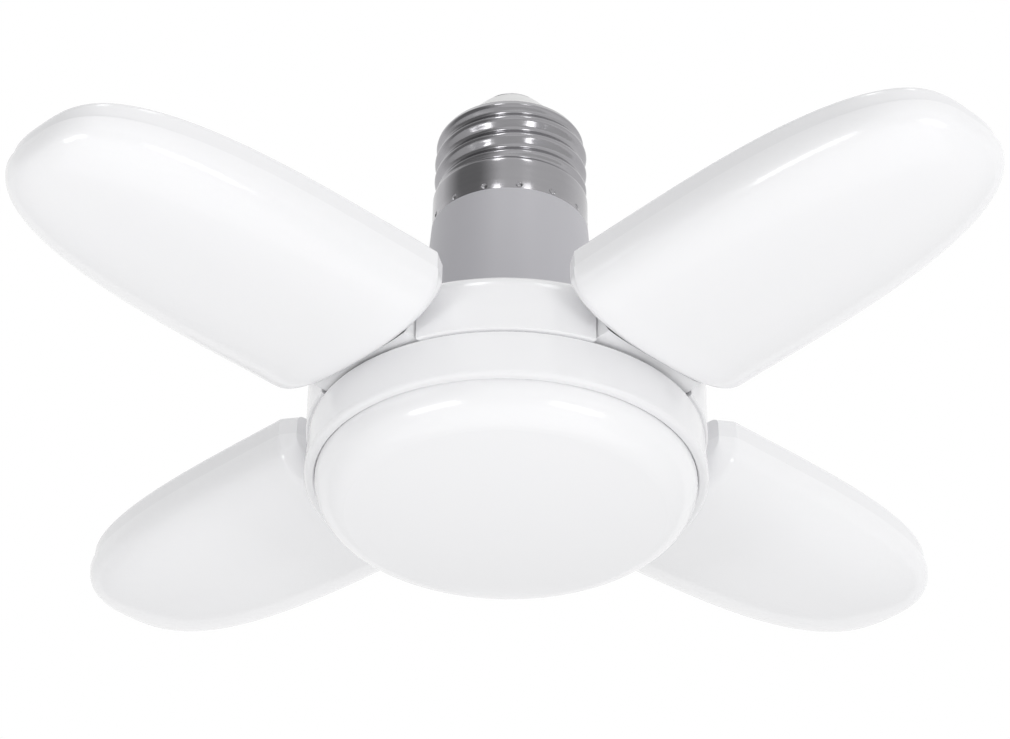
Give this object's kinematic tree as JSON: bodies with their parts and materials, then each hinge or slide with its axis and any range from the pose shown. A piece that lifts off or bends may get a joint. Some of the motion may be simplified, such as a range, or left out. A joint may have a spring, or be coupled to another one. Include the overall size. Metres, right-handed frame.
{
  "type": "folding leaf ceiling light",
  "caption": "Ceiling light with a screw cap, a round hub with a central opal light, and domed opal leaves that fold up on hinges.",
  "frame": {"origin": "on the lamp's axis, in the plane where the screw cap's skirt meets the neck", "axes": "+Z along the cap's axis towards the centre contact, which is up as the lamp hangs; the leaves stand at 45 degrees to X and Y, and -Y faces the picture's camera"},
  "size_m": [0.151, 0.151, 0.0874],
  "materials": {
    "white_plastic": "gloss moulded white",
    "opal": "gloss opal white",
    "neck_plastic": "satin grey",
    "cap_metal": "polished nickel plate",
    "contact_metal": "dull tinned",
    "cap_insulator": "satin off-white",
    "screw_steel": "zinc plated",
    "pin_steel": "ground steel",
    "bush_brass": "turned brass",
    "led_board": "white solder mask on aluminium",
    "led": "phosphor yellow",
    "driver_board": "green glass-fibre board",
    "capacitor": "sleeved can",
    "transformer": "ferrite and tape",
    "chip_black": "moulded black",
    "lead_red": "insulated lead",
    "lead_black": "insulated lead"
  },
  "bodies": {
    "hub": {"screw_shell": "cap_metal", "cap_insulator": "cap_insulator", "centre_contact": "contact_metal", "neck_sleeve": "neck_plastic", "neck_screws": "screw_steel", "hub_cover": "white_plastic", "hub_base": "white_plastic", "hub_screws": "screw_steel", "hinge_pins": "pin_steel", "centre_diffuser": "opal", "centre_led_board": "led_board", "centre_leds": "led", "centre_board_screws": "screw_steel", "driver_board": "driver_board", "driver_capacitor": "capacitor", "driver_transformer": "transformer", "driver_rectifier": "chip_black", "live_lead": "lead_red", "neutral_lead": "lead_black", "centre_leads": "lead_red", "hinge_leads": "lead_black"},
    "front_left_leaf": {"front_left_tray": "white_plastic", "front_left_diffuser": "opal", "front_left_led_board": "led_board", "front_left_leds": "led", "front_left_board_screws": "screw_steel", "front_left_hinge_bushes": "bush_brass", "front_left_lead": "lead_black"},
    "front_right_leaf": {"front_right_tray": "white_plastic", "front_right_diffuser": "opal", "front_right_led_board": "led_board", "front_right_leds": "led", "front_right_board_screws": "screw_steel", "front_right_hinge_bushes": "bush_brass", "front_right_lead": "lead_black"},
    "back_left_leaf": {"back_left_tray": "white_plastic", "back_left_diffuser": "opal", "back_left_led_board": "led_board", "back_left_leds": "led", "back_left_board_screws": "screw_steel", "back_left_hinge_bushes": "bush_brass", "back_left_lead": "lead_black"},
    "back_right_leaf": {"back_right_tray": "white_plastic", "back_right_diffuser": "opal", "back_right_led_board": "led_board", "back_right_leds": "led", "back_right_board_screws": "screw_steel", "back_right_hinge_bushes": "bush_brass", "back_right_lead": "lead_black"}
  },
  "joints": [
    {"name": "front_left_hinge", "type": "hinge", "parent": "hub", "child": "front_left_leaf", "pos_m": [-0.01838, -0.01838, -0.0348], "axis": [-0.7071, 0.7071, 0], "range_deg": [-0.7, 89.3]},
    {"name": "front_right_hinge", "type": "hinge", "parent": "hub", "child": "front_right_leaf", "pos_m": [0.01838, -0.01838, -0.0348], "axis": [-0.7071, -0.7071, 0], "range_deg": [-4.2, 85.8]},
    {"name": "back_left_hinge", "type": "hinge", "parent": "hub", "child": "back_left_leaf", "pos_m": [-0.01838, 0.01838, -0.0348], "axis": [0.7071, 0.7071, 0], "range_deg": [-1.3, 88.7]},
    {"name": "back_right_hinge", "type": "hinge", "parent": "hub", "child": "back_right_leaf", "pos_m": [0.01838, 0.01838, -0.0348], "axis": [0.7071, -0.7071, 0], "range_deg": [-2.2, 87.8]}
  ]
}
